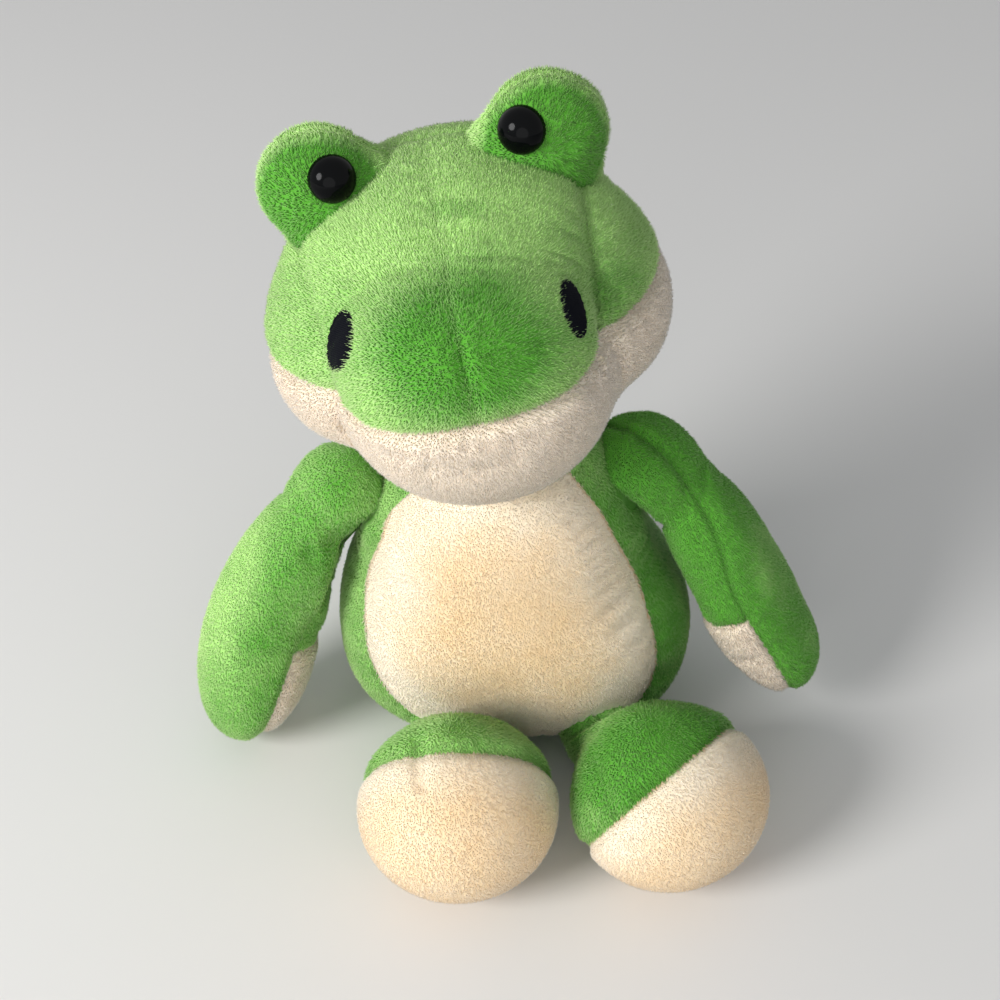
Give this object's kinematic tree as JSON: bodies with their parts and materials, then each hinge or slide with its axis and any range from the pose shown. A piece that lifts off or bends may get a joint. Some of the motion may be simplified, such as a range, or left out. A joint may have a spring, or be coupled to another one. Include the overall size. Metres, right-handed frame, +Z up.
{
  "type": "plush alligator toy",
  "caption": "Seated plush toy alligator in green pile with a pale belly, jaw, soles and hand pads, raised eye bumps, and a head, arms, legs and tail that swing at their sewn roots.",
  "frame": {"origin": "on the floor, under the middle of the whole toy's box", "axes": "+Z up, the toy faces -Y, and its own left is on +X"},
  "size_m": [0.18, 0.1806, 0.2066],
  "materials": {
    "green_pile": "soft brushed short-pile plush, lighter where the nap is brushed up",
    "cream_pile": "soft short-pile plush, off-white",
    "peach_pile": "soft short-pile plush, warm cream",
    "polyester_fill": "loose polyester fibre filling",
    "pellet_fill": "small plastic pellets in a thin cloth bag",
    "eye_black": "polished black dome",
    "washer_white": "plain moulded washer",
    "thread_black": "satin-stitch embroidery thread"
  },
  "bodies": {
    "body": {"body_stuffing": "polyester_fill", "pellet_bag": "pellet_fill", "belly_panel": "peach_pile", "body_side_left": "green_pile", "body_side_right": "green_pile"},
    "head": {"head_back": "green_pile", "lower_jaw": "cream_pile", "cheek_left": "green_pile", "head_top_left": "green_pile", "cheek_right": "green_pile", "head_top_right": "green_pile", "head_stuffing": "polyester_fill", "eye_bump_left": "green_pile", "eye_bump_stuffing_left": "polyester_fill", "eye_left": "eye_black", "eye_washer_left": "washer_white", "nostril_left": "thread_black", "eye_bump_right": "green_pile", "eye_bump_stuffing_right": "polyester_fill", "eye_right": "eye_black", "eye_washer_right": "washer_white", "nostril_right": "thread_black"},
    "arm_left": {"arm_outer_left": "green_pile", "arm_inner_left": "green_pile", "hand_pad_left": "cream_pile", "arm_stuffing_left": "polyester_fill"},
    "arm_right": {"arm_outer_right": "green_pile", "arm_inner_right": "green_pile", "hand_pad_right": "cream_pile", "arm_stuffing_right": "polyester_fill"},
    "leg_left": {"leg_left": "green_pile", "foot_sole_left": "peach_pile", "leg_stuffing_left": "polyester_fill"},
    "leg_right": {"leg_right": "green_pile", "foot_sole_right": "peach_pile", "leg_stuffing_right": "polyester_fill"},
    "tail": {"tail": "green_pile", "tail_stuffing": "polyester_fill"}
  },
  "joints": [
    {"name": "neck_nod", "type": "hinge", "parent": "body", "child": "head", "pos_m": [-0.00052, 0.00595, 0.09], "axis": [1, 0, 0], "range_deg": [-25, 20]},
    {"name": "arm_swing_left", "type": "hinge", "parent": "body", "child": "arm_left", "pos_m": [0.03531, 0.00495, 0.09283], "axis": [1, 0, 0], "range_deg": [-90, 20]},
    {"name": "arm_swing_right", "type": "hinge", "parent": "body", "child": "arm_right", "pos_m": [-0.04669, 0.00495, 0.08217], "axis": [1, 0, 0], "range_deg": [-90, 20]},
    {"name": "leg_swing_left", "type": "hinge", "parent": "body", "child": "leg_left", "pos_m": [0.02768, -0.02605, 0.0175], "axis": [1, 0, 0], "range_deg": [-20, 25]},
    {"name": "leg_swing_right", "type": "hinge", "parent": "body", "child": "leg_right", "pos_m": [-0.01632, -0.02605, 0.0175], "axis": [1, 0, 0], "range_deg": [-20, 25]},
    {"name": "tail_lift", "type": "hinge", "parent": "body", "child": "tail", "pos_m": [0.00068, 0.03495, 0.015], "axis": [1, 0, 0], "range_deg": [0, 35]}
  ]
}
